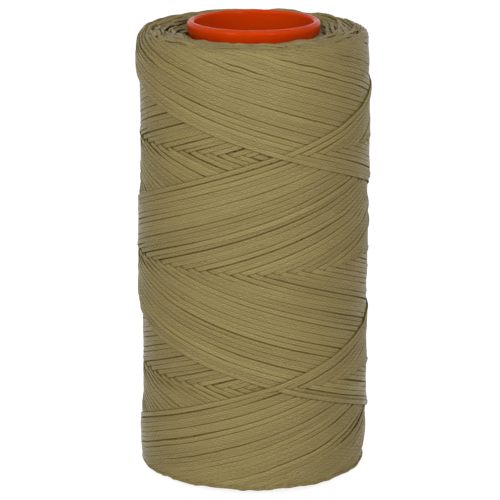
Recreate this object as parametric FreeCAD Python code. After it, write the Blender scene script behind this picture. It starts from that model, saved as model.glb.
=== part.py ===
import FreeCAD, Part
import math
import os

# A spool of flat waxed thread, cross-wound without flanges on a moulded plastic tube.
# Lengths are millimetres. Z is the axis of the bore, and the spool stands on the tube's lower rim.

V = FreeCAD.Vector

# The moulded tube, open from end to end
tube_length = 151.0
bore_radius = 19.3
tube_wall = 1.9
bead_proud = 0.5        # how far the bead at each end stands out from the tube's wall
bead_height = 2.4       # from the rim to where the bead begins to fade into the wall
bead_fade = 1.0         # height over which the bead fades into the wall
rim_round_out = 0.9     # rounding of the rim towards the thread
rim_round_in = 0.6      # rounding of the rim towards the bore
rim_sides = 2           # flats of each rounding

# The wound thread below the outermost turns, a plain body with rounded shoulders and dished ends
wound_height = 146.0    # from crest to crest
wound_radius = 35.7
shoulder_round = 3.5
shoulder_sides = 4      # flats of the shoulder's rounding
dish_slope = 15.0       # degrees by which the ends fall from the crest towards the tube
wound_clearance = 0.15  # between the thread and the tube's wall

# The outermost turns, one unbroken thread that runs up and down in crossing helices
thread_diameter = 0.93  # a round thread with the section of the flat one, 1.5 x 0.5
thread_sides = 3        # flats round the thread's section
double_strokes = 6      # times that the thread goes up and comes down again
turns_each = 4          # turns of one double stroke, before the small lag that spreads the strokes
turn_clearance = 0.10   # between the inner turns and the wound body
crossing_gap = 0.45     # between a rising turn and the falling turn that crosses over it
reversal_climb = 52.0   # degrees of the shoulder's rounding that the thread climbs before it turns back
reversal_round = 10.0   # how gently the thread turns back, as the width of the bend's tip
level_change = 22.0     # degrees on each side of a reversal in which the thread changes its level
cut_back = 50.0         # degrees left open between the thread's first and last point
ends_at = 90.0          # degrees round the axis, here the back, where both of those points lie

# What follows from these sizes
tube_radius = bore_radius + tube_wall
mid_height = tube_length / 2
shoulder_radius = wound_radius - shoulder_round         # radius of the crest circle
shoulder_start = wound_height / 2 - shoulder_round      # half the height of the straight side
inner_level = turn_clearance + thread_diameter / 2
outer_level = inner_level + thread_diameter + crossing_gap
stroke_angle = math.radians(180 * (turns_each - 1 / double_strokes))
route_turn = math.radians(ends_at - cut_back / 2) - stroke_angle / 2


def core_tube():
    """The tube turned from its profile, with a rounded bead at each rim."""
    bead_radius = tube_radius + bead_proud
    half = tube_length / 2
    upper = rounding(bore_radius + rim_round_in, half - rim_round_in, rim_round_in, 180, 90, rim_sides)
    upper += rounding(bead_radius - rim_round_out, half - rim_round_out, rim_round_out, 90, 0, rim_sides)
    upper += [V(bead_radius, 0, half - bead_height), V(tube_radius, 0, half - bead_height - bead_fade)]
    return turned(upper)


def inner_winding():
    """The body of the wound thread, turned from its profile with dished ends and rounded shoulders."""
    hole_radius = tube_radius + wound_clearance
    crest = rounding(shoulder_radius, shoulder_start, shoulder_round, 90 + dish_slope, 0, shoulder_sides)
    drop = (crest[0].x - hole_radius) * math.tan(math.radians(dish_slope))
    return turned([V(hole_radius, 0, crest[0].z - drop)] + crest)


def rounding(radius, height, size, start, end, sides):
    """Points of a profile's rounded edge about a centre, given by its radius and height, between two angles."""
    angles = [math.radians(start + (end - start) * i / sides) for i in range(sides + 1)]
    return [V(radius + size * math.cos(angle), 0, height + size * math.sin(angle)) for angle in angles]


def turned(upper):
    """A solid turned about Z from the upper half of its profile, and raised to stand on the floor."""
    lower = [V(point.x, 0, -point.z) for point in reversed(upper)]
    profile = Part.makePolygon(upper + lower + upper[:1])
    solid = Part.Face(profile).revolve(V(0, 0, 0), V(0, 0, 1), 360)
    return solid.translated(V(0, 0, mid_height))


# The thread's route is drawn on the wound body. Its climb is measured along the body's side from
# mid-height and on round the shoulder, and follows a hyperbola, straight between two rounded tips.
climb_end = shoulder_start + math.radians(reversal_climb) * shoulder_round
quarter_way = wound_radius * stroke_angle / 2
climb_slope = climb_end / (math.hypot(quarter_way, reversal_round) - reversal_round)
climb_tip = climb_end + climb_slope * reversal_round


def smooth(share):
    """A share from 0 to 1, eased at both ends."""
    share = min(1.0, max(0.0, share))
    return share * share * (3 - 2 * share)


def route_point(angle):
    """The middle of the thread once it has gone round by an angle from a lower reversal."""
    stroke = round(angle / stroke_angle)                # the nearest reversal, even ones being the lower
    past = angle - stroke * stroke_angle                # how far past that reversal
    side = -1 if stroke % 2 == 0 else 1
    climb = climb_tip - climb_slope * math.hypot(wound_radius * past, reversal_round)

    change = smooth(0.5 + past / (2 * math.radians(level_change)))
    share = 1 - change if side < 0 else change
    level = inner_level + (outer_level - inner_level) * share

    on_shoulder = max(0.0, climb - shoulder_start) / shoulder_round
    radius = shoulder_radius + (shoulder_round + level) * math.cos(on_shoulder)
    height = min(climb, shoulder_start) + (shoulder_round + level) * math.sin(on_shoulder)
    bearing = angle + route_turn
    return V(radius * math.cos(bearing), radius * math.sin(bearing), mid_height + side * height)


def route_direction(angle):
    """The thread's direction at an angle of its route."""
    step = 0.0001
    ahead = route_point(angle + step) - route_point(angle - step)
    return ahead.normalize()


def route_angles():
    """Angles of the route's points: close together at each reversal, else about a quarter turn apart."""
    first = stroke_angle / 2 + math.radians(cut_back)
    last = 2 * double_strokes * stroke_angle + stroke_angle / 2
    near = math.radians(level_change)
    clear = math.radians(52)
    angles = [first, last]
    for reversal in range(1, 2 * double_strokes + 1):
        tip = reversal * stroke_angle
        angles += [tip - clear, tip - near, tip, tip + near, tip + clear]
        if reversal < 2 * double_strokes:
            angles += spread(tip + clear, tip + stroke_angle - clear)
    angles += spread(first, stroke_angle - clear)
    angles += spread(2 * double_strokes * stroke_angle + clear, last)
    return sorted(angles)


def spread(start, end):
    """Angles between two others, about a quarter turn apart."""
    count = max(1, round((end - start) / math.radians(90)))
    return [start + (end - start) * i / count for i in range(1, count)]


def biarc(start, start_way, end, end_way):
    """Two arcs that join two points smoothly in the given directions."""
    across = end - start
    ways = start_way + end_way
    bend = 2 * (1 - start_way.dot(end_way))
    along = across.dot(ways)
    reach = (math.sqrt(along * along + bend * across.dot(across)) - along) / bend
    first_corner = start + start_way * reach
    last_corner = end - end_way * reach
    join = (first_corner + last_corner) * 0.5
    return [arc(start, first_corner, join), arc(join, last_corner, end)]


def arc(start, corner, end):
    """The arc between two points whose tangents meet at a corner."""
    chord_mid = (start + end) * 0.5
    half_angle = math.acos((end - start).Length / 2 / (corner - start).Length)
    share = math.cos(half_angle) / (1 + math.cos(half_angle))
    return Part.Arc(start, chord_mid + (corner - chord_mid) * share, end).toShape()


def outer_winding():
    """The outermost turns as one thread, with a straight end one thread diameter long at each cut."""
    angles = route_angles()
    points = [route_point(angle) for angle in angles]
    ways = [route_direction(angle) for angle in angles]
    edges = [Part.LineSegment(points[0] - ways[0] * thread_diameter, points[0]).toShape()]
    for i in range(len(points) - 1):
        edges += biarc(points[i], ways[i], points[i + 1], ways[i + 1])
    edges.append(Part.LineSegment(points[-1], points[-1] + ways[-1] * thread_diameter).toShape())

    start = points[0] - ways[0] * thread_diameter
    outward = V(start.x, start.y, 0).normalize()
    across = ways[0].cross(outward).normalize()
    outward = across.cross(ways[0])
    corners = []
    for i in range(thread_sides + 1):
        turn = 2 * math.pi * i / thread_sides
        corners.append(start + (outward * math.cos(turn) + across * math.sin(turn)) * (thread_diameter / 2))
    section = Part.makePolygon(corners)
    print("turns:", round((angles[-1] - angles[0]) / (2 * math.pi), 2))
    print("length of the outermost thread:", round(Part.Wire(edges).Length), "mm")
    print("least gap of the thread to itself:", round(least_gap(edges), 3), "mm")
    return Part.Wire(edges).makePipeShell([section], True, False)


def least_gap(edges):
    """The least gap between two stretches of the thread, measured on points along its middle."""
    step = thread_diameter / 2
    beside = 6 * thread_diameter                        # nearer along the thread is the same stretch
    cell = 4 * thread_diameter
    points = []
    travel = 0.0
    for edge in edges:
        count = max(2, math.ceil(edge.Length / step) + 1)
        for i, point in enumerate(edge.discretize(count)[:-1]):
            points.append((point.x, point.y, point.z, travel + edge.Length * i / (count - 1)))
        travel += edge.Length

    cells = {}
    for point in points:
        key = tuple(int(value // cell) for value in point[:3])
        cells.setdefault(key, []).append(point)

    least = 4 * thread_diameter
    for (a, b, c), here in cells.items():
        around = [(a + i, b + j, c + k) for i in (-1, 0, 1) for j in (-1, 0, 1) for k in (-1, 0, 1)]
        near = [point for key in around for point in cells.get(key, [])]
        for one in here:
            for other in near:
                if other[3] - one[3] > beside:
                    least = min(least, math.dist(one[:3], other[:3]))
    return least - thread_diameter


os.makedirs("parts", exist_ok=True)
nodes = {
    "core_tube": core_tube(),
    "inner_winding": inner_winding(),
    "outer_winding": outer_winding(),
}
for name, shape in nodes.items():
    print(name, "valid" if shape.isValid() else "NOT VALID", round(shape.Volume), "mm3")
    shape.exportStep("parts/" + name + ".step")
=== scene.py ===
import math

import bpy
import numpy as np
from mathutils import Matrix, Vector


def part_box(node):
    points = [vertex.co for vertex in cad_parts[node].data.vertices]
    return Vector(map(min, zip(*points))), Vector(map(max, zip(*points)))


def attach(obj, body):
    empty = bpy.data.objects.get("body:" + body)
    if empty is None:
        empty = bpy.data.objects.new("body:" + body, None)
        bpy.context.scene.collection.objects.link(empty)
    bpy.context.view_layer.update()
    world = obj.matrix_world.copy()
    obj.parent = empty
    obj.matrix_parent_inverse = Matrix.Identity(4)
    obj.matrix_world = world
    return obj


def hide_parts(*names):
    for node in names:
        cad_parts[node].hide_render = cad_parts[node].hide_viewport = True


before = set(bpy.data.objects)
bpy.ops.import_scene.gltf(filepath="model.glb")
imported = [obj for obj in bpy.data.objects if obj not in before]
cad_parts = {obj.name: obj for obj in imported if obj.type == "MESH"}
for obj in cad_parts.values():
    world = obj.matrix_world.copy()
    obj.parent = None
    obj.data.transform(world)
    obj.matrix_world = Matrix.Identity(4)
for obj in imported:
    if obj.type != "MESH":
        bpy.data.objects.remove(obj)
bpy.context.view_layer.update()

# A spool of flat waxed thread, cross-wound on a moulded plastic tube.
# Sizes are millimetres, and MM turns them into metres. Only the floor and lamps are in metres.
# Where the two ends of the package differ, 1 stands for the upper end and -1 for the lower end.
MM = 0.001
tube_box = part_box("core_tube")
chance = np.random.default_rng(11)      # the same random numbers at every run

# The tube
tube_length = (tube_box[1].z - tube_box[0].z) / MM
bead_radius = tube_box[1].x / MM
bead_depth = 0.5            # how far the bead at each end stands out of the tube's side
bead_height = 2.4
bead_fade = 1.0             # the height over which the bead falls back to the side
tube_radius = bead_radius - bead_depth
bore_radius = 19.3
outer_rim_round = 1.35
bore_rim_round = 0.95

# The package of wound thread
wound_middle = 75.7         # height of its middle above the floor
wound_radius = 37.6         # mean radius of its side
shoulder_round = {1: 3.4, -1: 0.8}      # rounding between the side and the end
straight_reach = {1: 69.5, -1: 72.0}    # from the middle to where the rounding begins
turn_reach = 73.2           # from the middle, round the shoulder, to where the thread turns back
turn_round = 10.0           # how gently the thread turns back
draw_in_depth = {1: 0.3, -1: 0.9}       # how far the side draws in, at one side of each end
draw_in_from = {1: 66, -1: 64}          # where that begins, from the middle
draw_in_over = {1: 6, -1: 8}            # the distance over which it comes to its depth
crest_lift = 0.55           # how far the crest stands up at one side and hangs down at the other
crest_waves = ((11, 0.13), (29, 0.1))   # how many waves run round the crest, and how high
crest_from = 50             # where the side begins to follow the crest, from the middle
crest_over = 20             # the distance over which it comes to follow it in full
least_reach = 0.2           # a strand stays outside the middle of the shoulder's rounding by this
side_freedom = 4.0          # and on the straight side it may lie deeper by this

# The dished ends
dish_depth = 3.2            # how far the ends fall from the crest to the tube
dish_width = 13.2
dish_from = 34.5            # the radius at which they begin to fall
dish_power = 1.6            # they fall faster towards the tube
gap_depth = 1.5             # along the tube the turns lie deeper by this, which leaves a dark gap
gap_width = 4.0
crest_inset = 1.4           # a layer's crest lies further in than its side by this

# The thread, and the law by which it is laid
thread_width = 1.74         # pressed wider than the 1.5 mm that it measures when loose
thread_thickness = 0.7
repeats_after = 45.5        # double strokes until it lies beside its first one again
stroke_angle = math.pi * (4 - 1 / repeats_after)
stroke_travel = wound_radius * stroke_angle
lag_travel = 2 * math.pi * wound_radius / repeats_after
climb = turn_reach / (math.hypot(stroke_travel / 2, turn_round) - turn_round)
climb_tip = turn_reach + climb * turn_round
last_turn_at = math.radians(100)    # the last lower turn lies at the back, a little to the left
around = 2 * math.pi * wound_radius

double_strokes = 100        # laid one after another, the last of them visible
drawn_strokes = 94          # strokes that make up the outermost layers
layer_growth = 1.3          # how much the radius grows from one layer to the next
tuck_length = 18            # the loose end is tucked in over this length,
tuck_aside = 1.3            # aside by this
tuck_under = 0.45           # and down by this

# The turns of the inner layers, which show at both ends
first_inner_layer = 2       # the strokes themselves make up what lies above it
turns_laid = 74             # turns laid for one layer
turns_drawn = 47            # the last of them, which are drawn
turns_room = 1.5            # room that the innermost of them need,
tube_clearance = 0.3        # and what stays free beside the tube
drawn_half = 13             # how far a turn is drawn to either side of its tip,
laid_half = 16              # and how far it is laid
bed_depth = 0.25            # how far below the strands the body lies that they rest on


# Materials

def linear(colour):
    """A colour from its sRGB hex value."""
    shares = [int(colour[i:i + 2], 16) / 255 for i in (1, 3, 5)]
    return [s / 12.92 if s <= 0.04045 else ((s + 0.055) / 1.055) ** 2.4 for s in shares] + [1.0]


def add_node(material, kind, inputs=(), **settings):
    """Adds a node. Each input is a value, or the output of another node."""
    made = material.node_tree.nodes.new(kind)
    for name, value in settings.items():
        setattr(made, name, value)
    for name, value in dict(inputs).items():
        if isinstance(value, bpy.types.NodeSocket):
            material.node_tree.links.new(value, made.inputs[name])
        else:
            made.inputs[name].default_value = value
    return made


def new_material(name):
    """An empty material and its surface shader."""
    material = bpy.data.materials.new(name)
    material.use_nodes = True
    return material, material.node_tree.nodes["Principled BSDF"]


def waxed_braid(name, wax, shade, edge):
    """Braided polyester thread, flattened and drawn through wax. The wax fills the braid and gives
    it a dull, slightly greasy sheen, and leaves the over-and-under of the yarns faintly visible."""
    material, shader = new_material(name)
    links = material.node_tree.links
    place = add_node(material, "ShaderNodeUVMap", uv_map="thread")      # millimetres
    on_thread = place.outputs["UV"]
    axes = add_node(material, "ShaderNodeSeparateXYZ", {"Vector": on_thread})
    across, along = axes.outputs["X"], axes.outputs["Y"]

    # Two rows of yarns beside each other take 1 mm of the thread's width, and in each row a yarn
    # comes up every 2.1 mm, by turns. Noise of about 1.7 mm makes their spacing uneven.
    two_rows, yarn_every, yarn_shift = 1.0, 2.1, 9.0
    uneven = add_node(material, "ShaderNodeTexNoise",
                      {"Vector": on_thread, "Scale": 0.6, "Detail": 2.0})
    across_turns = add_node(material, "ShaderNodeMath",
                            {0: across, 1: 2 * math.pi / two_rows}, operation="MULTIPLY")
    along_turns = add_node(material, "ShaderNodeMath",
                           {0: along, 1: 2 * math.pi / yarn_every}, operation="MULTIPLY")
    along_turns = add_node(material, "ShaderNodeMath",
                           {0: uneven.outputs["Fac"], 1: yarn_shift, 2: along_turns.outputs[0]},
                           operation="MULTIPLY_ADD")
    across_wave = add_node(material, "ShaderNodeMath", {0: across_turns.outputs[0]},
                           operation="SINE")
    along_wave = add_node(material, "ShaderNodeMath", {0: along_turns.outputs[0]},
                          operation="COSINE")
    braid = add_node(material, "ShaderNodeMath",
                     {0: across_wave.outputs[0], 1: along_wave.outputs[0]}, operation="MULTIPLY")

    # The wax lies thicker in patches of about 9 mm and hides the braid there
    patches = add_node(material, "ShaderNodeTexNoise",
                       {"Vector": on_thread, "Scale": 0.11, "Detail": 3.0})
    patch_share = add_node(material, "ShaderNodeMapRange",
                           {"Value": patches.outputs["Fac"], "From Min": 0.35, "From Max": 0.65,
                            "To Min": 0.25, "To Max": 1.0})
    braid_shown = add_node(material, "ShaderNodeMath",
                           {0: braid.outputs[0], 1: patch_share.outputs[0]},
                           operation="MULTIPLY")

    # The fibres of the yarns are drawn 0.1 mm thick and 0.9 mm long, as coarse as they need to show
    fibres = add_node(material, "ShaderNodeMapping",
                      {"Vector": on_thread, "Scale": (9.0, 1.1, 1.0)})
    fibre_noise = add_node(material, "ShaderNodeTexNoise",
                           {"Vector": fibres.outputs["Vector"], "Scale": 1.0, "Detail": 2.0})

    # Colour: painted shade where the yarns dip, painted shade of the gaps along both edges, deeper
    # and fainter by turns in stretches of about 14 mm, and a little painted shade along the groove
    # in the middle. Where strands are pressed together the painted edge shade is paler. The tone
    # varies at random, and is raised on the inner layers' turns as painted light.
    tone = add_node(material, "ShaderNodeAttribute", attribute_name="tone")
    half_across = add_node(material, "ShaderNodeMath", {0: across}, operation="ABSOLUTE")
    # Painted shade of the gaps along both edges, deeper or fainter in stretches along the thread
    edge_shade_stretches = add_node(material, "ShaderNodeMapping",
                    {"Vector": on_thread, "Scale": (0.5, 0.07, 1.0)})
    edge_shade_noise = add_node(material, "ShaderNodeTexNoise",
                          {"Vector": edge_shade_stretches.outputs["Vector"], "Scale": 1.0, "Detail": 2.0})
    edge_shade_depth = add_node(material, "ShaderNodeMapRange",
                          {"Value": edge_shade_noise.outputs["Fac"], "From Min": 0.35, "From Max": 0.6,
                           "To Min": 0.38, "To Max": 0.9})
    pressed = add_node(material, "ShaderNodeAttribute", attribute_name="pressed")
    edge_shade_left = add_node(material, "ShaderNodeMapRange",
                         {"Value": pressed.outputs["Fac"], "To Min": edge_shade_depth.outputs[0],
                          "To Max": 0.3})
    edge_shade_share = add_node(material, "ShaderNodeMapRange",
                          {"Value": half_across.outputs[0], "From Min": 0.54, "From Max": 0.82,
                           "To Max": edge_shade_left.outputs[0]},
                          interpolation_type="SMOOTHSTEP")
    # Painted shade in the dips between the yarns
    yarn_dip = add_node(material, "ShaderNodeMapRange",
                        {"Value": braid_shown.outputs[0], "From Min": -1.0, "From Max": 1.0,
                         "To Min": 0.55, "To Max": 0.05})
    dipped = add_node(material, "ShaderNodeMix",
                      {"Factor": yarn_dip.outputs[0], 6: linear(wax), 7: linear(shade)},
                      data_type="RGBA")
    edged = add_node(material, "ShaderNodeMix",
                     {"Factor": edge_shade_share.outputs[0], 6: dipped.outputs[2], 7: linear(edge)},
                     data_type="RGBA")
    lightness = add_node(material, "ShaderNodeMath",
                         {0: fibre_noise.outputs["Fac"], 1: 0.22, 2: 0.89},
                         operation="MULTIPLY_ADD")
    slow = add_node(material, "ShaderNodeMath",
                    {0: tone.outputs["Fac"], 1: 0.06, 2: lightness.outputs[0]},
                    operation="MULTIPLY_ADD")
    # Painted shade along the groove in the middle of the thread
    middle = add_node(material, "ShaderNodeMapRange",
                      {"Value": half_across.outputs[0], "From Min": 0.0, "From Max": 0.2,
                       "To Min": 0.84, "To Max": 1.0},
                      interpolation_type="SMOOTHSTEP")
    shaded = add_node(material, "ShaderNodeMath",
                      {0: slow.outputs[0], 1: middle.outputs[0]}, operation="MULTIPLY")
    coloured = add_node(material, "ShaderNodeHueSaturation",
                        {"Value": shaded.outputs[0], "Color": edged.outputs[2]})
    links.new(coloured.outputs["Color"], shader.inputs["Base Color"])

    # Roughness: thick wax is smoother than bare yarn
    rough = add_node(material, "ShaderNodeMapRange",
                     {"Value": patches.outputs["Fac"], "From Min": 0.3, "From Max": 0.7,
                      "To Min": 0.26, "To Max": 0.38})
    links.new(rough.outputs[0], shader.inputs["Roughness"])

    # Relief: the yarns stand 0.08 mm out of the face, and the fibres half as much
    height = add_node(material, "ShaderNodeMath",
                      {0: fibre_noise.outputs["Fac"], 1: 0.5, 2: braid_shown.outputs[0]},
                      operation="MULTIPLY_ADD")
    bump = add_node(material, "ShaderNodeBump",
                    {"Height": height.outputs[0], "Strength": 1.0, "Distance": 0.08 * MM})
    links.new(bump.outputs["Normal"], shader.inputs["Normal"])

    # The yarns' fibres run along the thread and shine across it. In the two sets of yarns that
    # cross each other in the braid they lean about 20 degrees to either side.
    fibre_lean = 20 / 360
    run = add_node(material, "ShaderNodeTangent", direction_type="UV_MAP", uv_map="thread")
    links.new(run.outputs["Tangent"], shader.inputs["Tangent"])
    yarn_lean = add_node(material, "ShaderNodeMapRange",
                         {"Value": braid.outputs[0], "From Min": -0.2, "From Max": 0.2,
                          "To Min": 0.5 - fibre_lean, "To Max": 0.5 + fibre_lean})
    links.new(yarn_lean.outputs[0], shader.inputs["Anisotropic Rotation"])
    shader.inputs["Anisotropic"].default_value = 0.75

    # Gloss: waxed polyester is polished where its yarns stand out, and dull along its edges
    shader.inputs["IOR"].default_value = 1.45
    polish = add_node(material, "ShaderNodeMapRange",
                      {"Value": braid_shown.outputs[0], "From Min": 0.15, "From Max": 0.6,
                       "To Min": 0.02, "To Max": 0.45})
    shine = add_node(material, "ShaderNodeMapRange",
                     {"Value": edge_shade_share.outputs[0], "From Max": 0.5,
                      "To Min": polish.outputs[0], "To Max": 0.0})
    links.new(shine.outputs[0], shader.inputs["Specular IOR Level"])
    return material


def moulded_polypropylene():
    """Injection-moulded polypropylene: an even, saturated colour with a glossy skin that is
    slightly uneven where the plastic flowed, so that highlights are soft and a little wavy."""
    material, shader = new_material("moulded_polypropylene")
    links = material.node_tree.links
    place = add_node(material, "ShaderNodeTexCoord")
    flow = add_node(material, "ShaderNodeMapping",
                    {"Vector": place.outputs["Object"], "Scale": (1.0, 1.0, 0.25)})
    # Flow marks run up the tube about 12 mm apart, and the skin's fine dimples are 0.8 mm wide
    streaks = add_node(material, "ShaderNodeTexNoise",
                       {"Vector": flow.outputs["Vector"], "Scale": 1 / (12 * MM), "Detail": 1.0})
    dimples = add_node(material, "ShaderNodeTexNoise",
                       {"Vector": place.outputs["Object"], "Scale": 1 / (0.8 * MM), "Detail": 2.0})
    colour = add_node(material, "ShaderNodeMix",
                      {"Factor": streaks.outputs["Fac"], 6: linear("#D24003"),
                       7: linear("#CC3D03")},
                      data_type="RGBA")
    links.new(colour.outputs[2], shader.inputs["Base Color"])
    rough = add_node(material, "ShaderNodeMapRange",
                     {"Value": streaks.outputs["Fac"], "To Min": 0.16, "To Max": 0.26})
    links.new(rough.outputs[0], shader.inputs["Roughness"])
    height = add_node(material, "ShaderNodeMath",
                      {0: streaks.outputs["Fac"], 1: 1.0, 2: dimples.outputs["Fac"]},
                      operation="MULTIPLY_ADD")
    bump = add_node(material, "ShaderNodeBump",
                    {"Height": height.outputs[0], "Strength": 0.12, "Distance": 0.01 * MM})
    links.new(bump.outputs["Normal"], shader.inputs["Normal"])
    shader.inputs["IOR"].default_value = 1.49
    shader.inputs["Specular IOR Level"].default_value = 0.05
    # Light goes a few millimetres into the plastic, red the furthest
    shader.inputs["Subsurface Weight"].default_value = 0.7
    shader.inputs["Subsurface Radius"].default_value = (1.0, 0.3, 0.1)
    shader.inputs["Subsurface Scale"].default_value = 4 * MM
    return material


# Making pieces by hand

def start_cylinder(sides, radius, height, middle):
    """A cylinder on the spool's axis, in edit mode, with nothing of it selected."""
    bpy.ops.object.select_all(action="DESELECT")
    bpy.ops.mesh.primitive_cylinder_add(vertices=sides, radius=radius * MM, depth=height * MM,
                                        location=(0, 0, middle * MM))
    piece = bpy.context.object
    bpy.ops.object.transform_apply(location=True, rotation=True, scale=True)
    bpy.ops.object.mode_set(mode="EDIT")
    bpy.ops.mesh.select_all(action="DESELECT")
    return piece


def pick(piece, kind, test):
    """Selects the piece's faces, edges or vertices that pass a test, and nothing else."""
    bpy.ops.mesh.select_mode(type=kind)
    bpy.ops.mesh.select_all(action="DESELECT")
    bpy.ops.object.mode_set(mode="OBJECT")
    mesh = piece.data
    if kind == "FACE":
        for face in mesh.polygons:
            face.select = test(face.center / MM, face.normal)
    elif kind == "EDGE":
        for edge in mesh.edges:
            ends = [mesh.vertices[i].co / MM for i in edge.vertices]
            edge.select = test(*ends)
    else:
        for vertex in mesh.vertices:
            vertex.select = test(vertex.co / MM)
    bpy.ops.object.mode_set(mode="EDIT")


def finish_edit(piece, name, material):
    """Leaves edit mode with the normals outwards, the place in the mesh and the shading smoothed
    over every edge that bends less than 40 degrees."""
    bpy.ops.mesh.select_all(action="SELECT")
    bpy.ops.mesh.remove_doubles(threshold=0.001 * MM)
    bpy.ops.mesh.normals_make_consistent(inside=False)
    bpy.ops.object.mode_set(mode="OBJECT")
    bpy.ops.object.transform_apply(location=True, rotation=True, scale=True)
    bpy.ops.object.shade_smooth_by_angle(angle=math.radians(40))
    piece.name = name
    piece.data.name = name
    piece.data.materials.clear()
    piece.data.materials.append(material)
    return piece


def out(point):
    """How far a point is from the axis."""
    return math.hypot(point.x, point.y)


def tube_piece(material):
    """The tube: a cylinder with its bore bridged through, a bead at each end and rounded rims."""
    middle = tube_length / 2
    tube = start_cylinder(240, tube_radius, tube_length, middle)
    pick(tube, "FACE", lambda centre, normal: abs(normal.z) > 0.9)
    bpy.ops.mesh.inset(thickness=(tube_radius - bore_radius) * MM)
    bpy.ops.mesh.bridge_edge_loops()

    for height in (bead_height, bead_height + bead_fade):
        for level in (height, tube_length - height):
            bpy.ops.mesh.select_all(action="SELECT")
            bpy.ops.mesh.bisect(plane_co=(0, 0, level * MM), plane_no=(0, 0, 1))
    pick(tube, "VERT", lambda point: abs(point.z - middle) > middle - bead_height - 0.1
         and out(point) > tube_radius - 0.3)
    grow = bead_radius / tube_radius
    bpy.ops.transform.resize(value=(grow, grow, 1), center_override=(0, 0, 0))

    def rim_edge(radius):
        return lambda a, b: (min(abs(a.z - middle), abs(b.z - middle)) > middle - 0.01
                             and abs(out(a) - radius) < 0.05 and abs(out(b) - radius) < 0.05)

    pick(tube, "EDGE", rim_edge(bead_radius))
    bpy.ops.mesh.bevel(offset=outer_rim_round * MM, segments=9, profile=0.5)
    pick(tube, "EDGE", rim_edge(bore_radius))
    bpy.ops.mesh.bevel(offset=bore_rim_round * MM, segments=7, profile=0.5)
    return finish_edit(tube, "core_tube_moulding", material)


def bed_piece(material, side_radius):
    """What lies below the drawn thread: a plain body that closes the gaps between the strands.
    Its ends are level along the edge, then slope, and then fall more steeply to the tube."""
    half = turn_reach - 1.8
    level_width, slope_width, tube_gap, edge_round = 4.0, 5.0, 0.1, 2.6
    steep_width = side_radius - (level_width + slope_width) - tube_radius - tube_gap
    bed = start_cylinder(180, side_radius, 2 * half, wound_middle)
    for inset, sink in ((level_width, 0.0), (slope_width, 0.8), (steep_width, 2.0)):
        for side in (1, -1):
            pick(bed, "FACE", lambda centre, normal: normal.z * side > 0.9 and out(centre) < 1.0)
            bpy.ops.mesh.inset(thickness=inset * MM)
            bpy.ops.transform.translate(value=(0, 0, -side * sink * MM))
    pick(bed, "FACE", lambda centre, normal: abs(normal.z) > 0.9 and out(centre) < 1.0)
    bpy.ops.mesh.bridge_edge_loops()
    pick(bed, "EDGE", lambda a, b: abs(a.z - b.z) < 0.01 and abs(a.z - wound_middle) > half - 0.01
         and out(a) > side_radius - 0.1 and out(b) > side_radius - 0.1)
    bpy.ops.mesh.bevel(offset=edge_round * MM, segments=5, profile=0.5)
    return finish_edit(bed, "inner_layers", material)


# Laying the thread. The side of the package is unrolled: one coordinate, travel, runs round it, and
# the other, place, runs up the side from its middle and on round the shoulders. A grid over it
# holds the height of what has been laid so far.

cell = 0.25
beyond = 2                  # how far the grid runs on past the turns
columns = round(around / cell)
rows = round(2 * (turn_reach + beyond) / cell)
lanes = np.linspace(-0.33, 0.33, 7) * thread_width      # lines along the thread that feel its seat
round_edge = 0.12 * (np.abs(lanes) / (0.5 * thread_width)) ** 5     # how much lower its edges are
tight_bend = wound_radius / math.cos(math.atan(climb)) ** 2     # its own curve round the package
steepest_lean = 0.15        # the most that the thread tips over to one side
rests_on_highest = 0.6      # the share of its seat that the highest lane has, against their mean
pressed_thinner = 0.68      # how much thinner it is pressed where it turns back
crowded_width = 9           # how far from the turns the strands begin to crowd together


def eased(share):
    """Shares from 0 to 1, eased at both ends."""
    share = np.clip(share, 0, 1)
    return share * share * (3 - 2 * share)


def ramp(place, start, over):
    """Rises from 0 to 1, eased, over a distance that begins at start."""
    return eased((place - start) / over)


def hump(place, middle, width):
    """Rises to 1 at its middle and falls away softly on both sides."""
    return np.exp(-((place - middle) / width) ** 2)


def drift(travel, spacing, amount):
    """A smooth random drift along the thread."""
    knots = chance.normal(0, amount, int(travel[-1] / spacing) + 3)
    at = (travel - travel[0]) / spacing
    first = at.astype(int)
    share = eased(at - first)
    return knots[first] * (1 - share) + knots[first + 1] * share


def averaged(values, each_way):
    """A running mean, over so many values each way, that keeps the length and doesn't sag at the
    ends."""
    padded = np.concatenate([np.full(each_way, values[0]), values, np.full(each_way, values[-1])])
    return np.convolve(padded, np.ones(2 * each_way + 1) / (2 * each_way + 1), "valid")


def pulled_tight(along, seat):
    """The height of a thread pulled tight round the package over an uneven seat: it bridges the
    hollows."""
    rise = along ** 2 / (2 * tight_bend)
    level = seat - rise
    touching = []           # the points of the seat at which the thread rests
    a, h = along.tolist(), level.tolist()
    for i in range(len(a)):
        while len(touching) > 1:
            p, q = touching[-2], touching[-1]
            if (h[q] - h[p]) * (a[i] - a[p]) > (h[i] - h[p]) * (a[q] - a[p]):
                break
            touching.pop()      # it lies below the line from its neighbour to this point
        touching.append(i)
    return np.interp(along, along[touching], level[touching]) + rise


def crowding(place):
    """How far the strands crowd together where the thread turns back, from 0 to 1."""
    return np.clip((np.abs(place) - (turn_reach - crowded_width)) / crowded_width, 0, 1)


def cells(travel, place):
    """The rows and columns of the grid at these places."""
    row = ((place + turn_reach + beyond) / cell).astype(int)
    column = (travel * columns / around).astype(int) % columns
    return np.clip(row, 0, rows - 1), column


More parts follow.
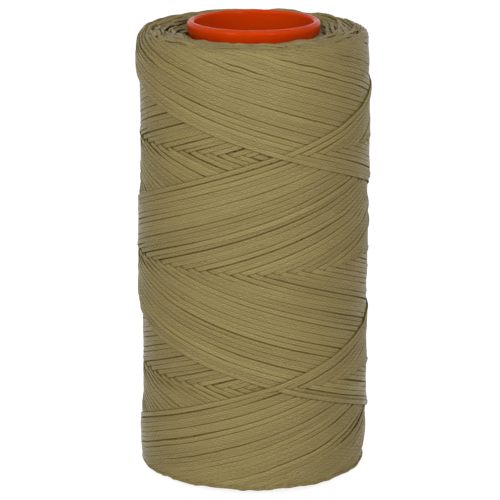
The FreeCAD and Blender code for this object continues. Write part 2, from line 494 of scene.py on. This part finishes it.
def lay(field, travel, place, before=None):
    """Lays one run of thread on the field, from the seat at which the run before it ended. Gives
    the height of its top and its lean, all along, and the seat at its end."""
    step_round, step_up = np.gradient(travel), np.gradient(place)
    length = np.hypot(step_round, step_up)
    row, column = cells(travel - lanes[:, None] * step_up / length,
                        place + lanes[:, None] * step_round / length)
    under = field[row, column]
    lean = (under[4:].max(0) - under[:3].max(0)) / thread_width
    lean = np.clip(averaged(lean, each_way=8), -steepest_lean, steepest_lean)
    levelled = under - lean * lanes[:, None]
    seat = rests_on_highest * levelled.max(0) + (1 - rests_on_highest) * levelled.mean(0)
    if before is not None:
        seat[:10] = before
    along = np.cumsum(length)
    seat = pulled_tight(along, averaged(seat, each_way=2))

    # Where its strands crowd together they are pressed thinner
    top = seat + thread_thickness * (1 - pressed_thinner * crowding(place) ** 1.5)
    laid = top + lean * lanes[:, None] - round_edge[:, None]
    np.maximum.at(field, (row, column), laid)
    return top, lean, seat[-1]


def of_end(sizes, side):
    """The upper or the lower end's size, for each point."""
    return np.where(side > 0, sizes[1], sizes[-1])


def on_package(place, angle, height, radius, drop=0.0):
    """Points at a height above the package, and the directions straight out of it there."""
    side, from_middle = np.sign(place), np.abs(place)
    rounding, straight = of_end(shoulder_round, side), of_end(straight_reach, side)
    turned = np.maximum(from_middle - straight, 0) / rounding
    reach = np.maximum(rounding + height, least_reach - side_freedom * (1 - eased(turned)))
    out_by = radius - rounding + reach * np.cos(turned)
    up_by = np.minimum(from_middle, straight) + reach * np.sin(turned) - drop

    # The side draws in a little at the upper left, and more at the lower right
    draw_in = of_end(draw_in_depth, side) * ramp(from_middle, of_end(draw_in_from, side),
                                                 of_end(draw_in_over, side))
    out_by -= draw_in * np.maximum(-side * np.cos(angle), 0) ** 2

    # The crest stands up a little at the right and hangs down a little at the left, and is wavy
    lift = crest_lift * np.maximum(side * np.cos(angle), 0) ** 3
    for waves, wave_height in crest_waves:
        lift = lift + wave_height * np.sin(waves * angle)
    up_by += ramp(from_middle, crest_from, crest_over) * lift
    points = np.stack([out_by * np.cos(angle), out_by * np.sin(angle),
                       wound_middle + side * up_by], 1)
    outward = np.stack([np.cos(turned) * np.cos(angle), np.cos(turned) * np.sin(angle),
                        side * np.sin(turned)], 1)
    return points, outward


def strand(points, outward, lean, start, tone, pressed):
    """A run of thread ready to be drawn: its middle line, the directions across and out of it, how
    far along the thread its points are, its tone, and how far it is pressed by its neighbours."""
    way = np.gradient(points, axis=0)
    way /= np.linalg.norm(way, axis=1)[:, None]
    across = np.cross(outward, way)
    across /= np.linalg.norm(across, axis=1)[:, None]
    outward = np.cross(way, across)
    tip = np.arctan(lean)[:, None]
    leaned = across * np.cos(tip) + outward * np.sin(tip)
    outward = outward * np.cos(tip) - across * np.sin(tip)
    steps = np.linalg.norm(np.diff(points, axis=0), axis=1)
    along = start + np.concatenate([[0], np.cumsum(steps)])
    return points, leaned, outward, along, tone, pressed


# The thread's section, pressed flat, as points across it and out of it: in full for the outermost
# strands, and shorter and plainer for the turns at the ends
full_section = [(-.87, .02), (-.80, .17), (-.62, .245), (.62, .245),
                (.80, .17), (.87, .02), (.60, -.40), (-.60, -.40)]
short_section = [(-.66, .0), (-.48, .28), (.48, .28), (.66, .0), (.42, -.36), (-.42, -.36)]


def thread_piece(name, strands, section, material):
    """One mesh of closed strands, with the thread's width and length as its own map in
    millimetres."""
    sides = len(section)
    wide, high = np.array(section).T
    points, faces, maps, tones, presses = [], [], [], [], []
    count = 0
    ring = np.arange(sides)
    nxt = (ring + 1) % sides
    for middle, across, outward, along, tone, pressed in strands:
        rings = len(middle)
        made = (middle[:, None] + across[:, None] * wide[:, None]
                + outward[:, None] * high[:, None])
        points.append(made.reshape(-1, 3))
        tones.append(np.repeat(tone, sides))
        presses.append(np.repeat(pressed, sides))

        # The faces along it
        first = count + np.arange(rings - 1)[:, None] * sides
        quads = np.stack([first + ring, first + sides + ring, first + sides + nxt, first + nxt], 2)
        faces.append(quads.reshape(-1, 4))
        low = np.arange(rings - 1)[:, None] * np.ones(sides, int)
        u = np.stack([wide[ring], wide[ring], wide[nxt], wide[nxt]], 1)
        v = along[np.stack([low, low + 1, low + 1, low], 2)]
        maps.append(np.stack([np.broadcast_to(u, v.shape), v], 3).reshape(-1, 2))

        # The faces that close both ends
        for at, flip in ((0, False), (rings - 1, True)):
            for i in range(sides // 2 - 1):
                cap = np.array([i, i + 1, sides - 2 - i, sides - 1 - i])
                cap = cap[::-1] if flip else cap
                faces.append(count + at * sides + cap[None])
                maps.append(np.stack([wide[cap], np.full(4, along[at])], 1))
        count += rings * sides
    points, faces = np.concatenate(points) * MM, np.concatenate(faces)

    mesh = bpy.data.meshes.new(name)
    mesh.vertices.add(len(points))
    mesh.vertices.foreach_set("co", points.astype(np.float32).ravel())
    mesh.loops.add(faces.size)
    mesh.loops.foreach_set("vertex_index", faces.astype(np.int32).ravel())
    mesh.polygons.add(len(faces))
    mesh.polygons.foreach_set("loop_start", np.arange(0, faces.size, 4, dtype=np.int32))
    mesh.update(calc_edges=True)
    on_thread = np.concatenate(maps).astype(np.float32)
    mesh.uv_layers.new(name="thread").data.foreach_set("uv", on_thread.ravel())
    for attribute, values in (("tone", tones), ("pressed", presses)):
        values = np.concatenate(values).astype(np.float32)
        mesh.attributes.new(attribute, "FLOAT", "POINT").data.foreach_set("value", values)
    mesh.shade_smooth()
    mesh.materials.append(material)
    piece = bpy.data.objects.new(name, mesh)
    bpy.context.collection.objects.link(piece)
    return piece


def side_shape(place):
    """How far the side stands out of a straight cylinder: a slight flare towards both ends, drawn
    in again at the very ends, a swell round the middle and a waist below it."""
    flare = 0.4 * ramp(np.abs(place), 53, 9)
    upper_end, lower_end = 0.7 * ramp(place, 64, 8), 0.4 * ramp(-place, 60, 10)
    swell, waist = 0.45 * hump(place, 0, 20), 0.3 * hump(place, -37, 16)
    return flare - (upper_end + lower_end) + (swell - waist)


def settled(field, place):
    """How far the layers settle under the pull of the thread. What piles up where strokes always
    cross, and where the thread turns back, is pressed level with the rest of the side."""
    row_place = (np.arange(rows) + 0.5) * cell - turn_reach - beyond
    laid = averaged(field.sum(1) / np.maximum((field > 0).sum(1), 1), each_way=3)
    inside = np.abs(row_place) < turn_reach - 0.3
    return np.interp(place, row_place[inside], (laid - side_shape(row_place))[inside])


def pressed_flat(field, travel, place):
    """How far small bumps and hollows are pressed flat. The steps between layers stay."""
    flattened = 0.85        # the share of a small bump that goes
    step_height = 0.4       # what stands higher than about this counts as a step
    spread = 9              # cells each way, over which the field is smoothed
    smooth = sum(np.roll(field, i, 1) for i in range(-spread, spread + 1)) / (2 * spread + 1)
    padded = np.pad(smooth, ((spread, spread), (0, 0)), mode="edge")
    smooth = sum(padded[i:i + rows] for i in range(2 * spread + 1)) / (2 * spread + 1)
    bump = field - smooth
    bump *= flattened * hump(bump, 0, step_height)
    return averaged(bump[cells(travel, place)], each_way=4)


def wind_package():
    """Lays all the strokes, one thread from first to last. Gives the runs of the outermost layers,
    the turns of the layers just below, and the radius of the body that they lie on."""
    field = np.zeros((rows, columns))
    below_rows = slice(round(rows * 0.15), round(rows * 0.85))      # the side, away from the ends
    side_rows = slice(round(rows * 0.1), round(rows * 0.9))
    samples = round(stroke_travel / cell)
    step = stroke_travel / samples
    strokes = 2 * double_strokes
    first_drawn = strokes - drawn_strokes
    travel = np.arange(strokes * samples + samples // 2 + 1) * step
    stroke = np.round(travel / stroke_travel).astype(int)
    past = travel - stroke * stroke_travel
    side = np.where(stroke % 2 == 0, -1, 1)
    place = side * (climb_tip - climb * np.hypot(past, turn_round))
    # It never runs quite true, least of all near the upper end
    wander = drift(travel, spacing=55, amount=0.14) + drift(travel, spacing=17, amount=0.05)
    place += wander * (1 + 0.9 * ramp(place, 60, 12))
    tone = drift(travel, spacing=170, amount=0.8) + drift(travel, spacing=25, amount=0.4)

    tops, leans = np.zeros(len(travel)), np.zeros(len(travel))
    seat = None
    for i in range(strokes + 1):
        run = slice(i * samples, min((i + 1) * samples, len(travel) - 1) + 1)
        if i == first_drawn:
            bed_height = field[below_rows].mean()
        tops[run], leans[run], seat = lay(field, travel[run], place[run], seat)
    level = field[side_rows].mean()
    tops = averaged(tops, each_way=3) - settled(field, place)
    tops -= pressed_flat(field, travel, place)

    # The loose end is tucked in under the strand beside it
    tuck = eased((travel - (travel[-1] - tuck_length)) / tuck_length)
    place -= tuck_aside * tuck
    tops -= tuck_under * tuck
    angle = travel / wound_radius + last_turn_at - strokes * stroke_angle
    points, outward = on_package(place, angle, tops - thread_thickness / 2, wound_radius)

    # The outermost layers, in three runs that join end to end, with a ring at every sixth sample
    parts, ring_every = 3, 6
    first = first_drawn * samples
    even_leans = averaged(leans, each_way=3)
    runs = []
    for part in range(parts):
        begin = first + (len(travel) - 1 - first) * part // parts
        end = first + (len(travel) - 1 - first) * (part + 1) // parts
        keep = np.arange(begin, end + 1, ring_every)
        runs.append(strand(points[keep], outward[keep], even_leans[keep], travel[begin],
                           tone[keep], crowding(place[keep])))

    # The turns of the strokes before them, which show at the ends
    strokes_before, half_turn = 92, 13.5
    turns = {1: [], -1: []}
    loop = np.linspace(-half_turn, half_turn, 14)
    for i in range(first_drawn - strokes_before, first_drawn + 2):
        keep = np.round((i * stroke_travel + loop) / step).astype(int)
        turns[1 if i % 2 else -1].append(
            strand(points[keep], outward[keep], leans[keep], travel[keep[0]], tone[keep],
                   crowding(place[keep])))
    return runs, turns, float(wound_radius - level + bed_height)


def wind_turns(side, radius, drop):
    """The turns of one inner layer where the thread turns back, at the upper or the lower end."""
    uneven_spacing, uneven_reach, askew, uneven_level = 0.9, 0.6, 0.03, 0.33
    field = np.zeros((rows, columns))
    begin = chance.uniform(0, around)
    travel = np.arange(-laid_half, laid_half + cell / 2, cell)
    drawn = np.linspace(-drawn_half, drawn_half, 13)
    keep = np.round((drawn + laid_half) / cell).astype(int)
    loops = []
    for i in range(turns_laid):
        at = begin - i * lag_travel + chance.normal(0, uneven_spacing)
        reach = climb_tip - climb * np.hypot(travel, turn_round) + chance.normal(0, uneven_reach)
        place = side * (reach + askew * chance.normal() * travel)
        top, lean, _ = lay(field, at + around + travel, place)
        loops.append((at, place, top + chance.normal(0, uneven_level), lean))
    loops = loops[-turns_drawn:]
    level = np.mean([top.mean() for at, place, top, lean in loops])
    strands = []
    for at, place, top, lean in loops:
        angle = (at + travel[keep]) / wound_radius
        height = top[keep] - level - thread_thickness / 2
        points, outward = on_package(place[keep], angle, height, radius, drop)
        start = chance.uniform(0, 500)
        # Random tone, lighter on average than the outer strands: painted light on these turns at
        # the ends
        tone = np.full(len(keep), chance.normal(1.2, 0.9))
        strands.append(strand(points, outward, lean[keep], start, tone, np.zeros(len(keep))))
    return strands


def dished(turn_radius):
    """How far an inner layer's turns lie below the outermost crest."""
    fall = max(0.0, (dish_from - (turn_radius - crest_inset)) / dish_width)
    drop = dish_depth * fall ** dish_power + chance.normal(0, 0.18)
    return drop + gap_depth * eased((tube_radius + gap_width - turn_radius) / gap_width)


# The pieces

# The second colour of each braid is painted shade in the dips between the yarns, the third painted
# shade along the strands' edges
braid = waxed_braid("waxed_polyester_braid", "#98895D", "#786936", "#6A5B24")
# A darker copy of the braid, painted shade, for the body that lies below the strands and shows in
# the gaps between them
painted_shade_braid = waxed_braid("waxed_braid_painted_shade", "#5C4D1C", "#493D14", "#3A300E")
plastic = moulded_polypropylene()

runs, turns, bed_radius = wind_package()
pieces = []
for i, run in enumerate(runs):
    pieces.append(thread_piece("outer_thread_" + str(i + 1), [run], full_section, braid))
layer = first_inner_layer
while wound_radius - layer * layer_growth - turns_room > tube_radius + tube_clearance:
    turn_radius = wound_radius - layer * layer_growth + chance.normal(0, 0.08)
    drop = dished(turn_radius)
    for side in (1, -1):
        turns[side] += wind_turns(side, turn_radius, drop)
    layer += 1
pieces.append(thread_piece("upper_turns", turns[1], short_section, braid))
pieces.append(thread_piece("lower_turns", turns[-1], short_section, braid))
pieces.append(bed_piece(painted_shade_braid, bed_radius - bed_depth))
for piece in pieces:
    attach(piece, "root")
    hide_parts("inner_winding", "outer_winding")

tube = tube_piece(plastic)
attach(tube, "root")
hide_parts("core_tube")


# The studio, in metres: a wide pale floor, soft lights at the left and right, in front and above,
# and a pale room

def seen(material):
    """1 for rays that show a surface to the camera, directly, in gloss or through glass, and 0 for
    rays that carry its light to other things."""
    rays = add_node(material, "ShaderNodeLightPath")
    shown = rays.outputs["Is Camera Ray"]
    for kind in ("Is Glossy Ray", "Is Transmission Ray"):
        shown = add_node(material, "ShaderNodeMath", {0: shown, 1: rays.outputs[kind]},
                         operation="MAXIMUM").outputs[0]
    return shown


def floor_piece():
    """A wide white floor. The camera sees it as white paper with the spool's soft shadow on it."""
    bpy.ops.object.select_all(action="DESELECT")
    # It lies 0.2 mm below the spool, so that the two never share a plane
    bpy.ops.mesh.primitive_plane_add(size=12, location=(0, 0, -0.0002))
    floor = bpy.context.object
    bpy.ops.object.transform_apply(location=True, rotation=True, scale=True)
    floor.name = "floor"
    material, shader = new_material("white_paper")
    place = add_node(material, "ShaderNodeTexCoord")
    # The paper's grain is about 1 mm
    grain = add_node(material, "ShaderNodeTexNoise",
                     {"Vector": place.outputs["Object"], "Scale": 900.0})
    tint = add_node(material, "ShaderNodeMix",
                    {"Factor": grain.outputs["Fac"], 6: linear("#E9E9E8"), 7: linear("#EEEEED")},
                    data_type="RGBA")
    material.node_tree.links.new(tint.outputs[2], shader.inputs["Base Color"])
    shader.inputs["Roughness"].default_value = 0.9
    shader.inputs["Specular IOR Level"].default_value = 0.1
    # What the camera sees of the floor glows a little, and with the lamps' light it is white
    light = add_node(material, "ShaderNodeMath", {0: seen(material), 1: 0.82},
                     operation="MULTIPLY")
    material.node_tree.links.new(light.outputs[0], shader.inputs["Emission Strength"])
    shader.inputs["Emission Color"].default_value = (1, 1, 1, 1)
    floor.data.materials.append(material)


def softbox(name, azimuth, height, distance, width, tall, brightness):
    """A soft lamp that faces the spool's middle, 0.08 m above the floor. Its azimuth is in degrees
    from the front, to the right, and its brightness is against a white wall at 1."""
    lamp = bpy.data.lights.new(name, "AREA")
    lamp.shape = "RECTANGLE"
    lamp.size, lamp.size_y = width, tall
    lamp.energy = brightness * math.pi * width * tall
    holder = bpy.data.objects.new(name, lamp)
    turn = math.radians(azimuth)
    holder.location = (distance * math.sin(turn), -distance * math.cos(turn), height)
    aim = holder.location * -1
    aim.z += 0.08
    holder.rotation_euler = aim.to_track_quat("-Z", "Y").to_euler()
    bpy.context.collection.objects.link(holder)


def room():
    """Even light from all round. Seen directly or in a reflection, it is white."""
    world = bpy.data.worlds.new("pale_room")
    bpy.context.scene.world = world
    world.use_nodes = True
    strength = add_node(world, "ShaderNodeMapRange",
                        {"Value": seen(world), "To Min": 0.13, "To Max": 1.0})
    background = world.node_tree.nodes["Background"]
    background.inputs["Color"].default_value = (1, 1, 1, 1)
    world.node_tree.links.new(strength.outputs[0], background.inputs["Strength"])


def camera():
    """The photograph's view: 0.84 m in front of the spool's axis and 0.29 m above the floor,
    looking down by 0.2568 radians (14.7 degrees), through a long lens."""
    lens = bpy.data.cameras.new("camera")
    lens.lens = 188.16
    lens.sensor_width = 36
    holder = bpy.data.objects.new("camera", lens)
    holder.location = (1.5 * MM, -837.5 * MM, 293.8 * MM)
    holder.rotation_euler = (math.pi / 2 - 0.2568, 0, 0.0033)
    bpy.context.collection.objects.link(holder)
    bpy.context.scene.camera = holder


floor_piece()
room()
softbox("left_softbox", azimuth=-42, height=0.48, distance=1.2,
        width=0.1, tall=0.8, brightness=24.0)
softbox("right_softbox", azimuth=29, height=0.48, distance=1.2,
        width=0.1, tall=0.8, brightness=24.0)
softbox("front_softbox", azimuth=-3, height=0.8, distance=1.2,
        width=0.6, tall=0.4, brightness=4.6)
softbox("top_softbox", azimuth=10, height=1.3, distance=0.3,
        width=0.6, tall=0.6, brightness=2.1)
camera()
bpy.context.scene.view_settings.view_transform = "Standard"
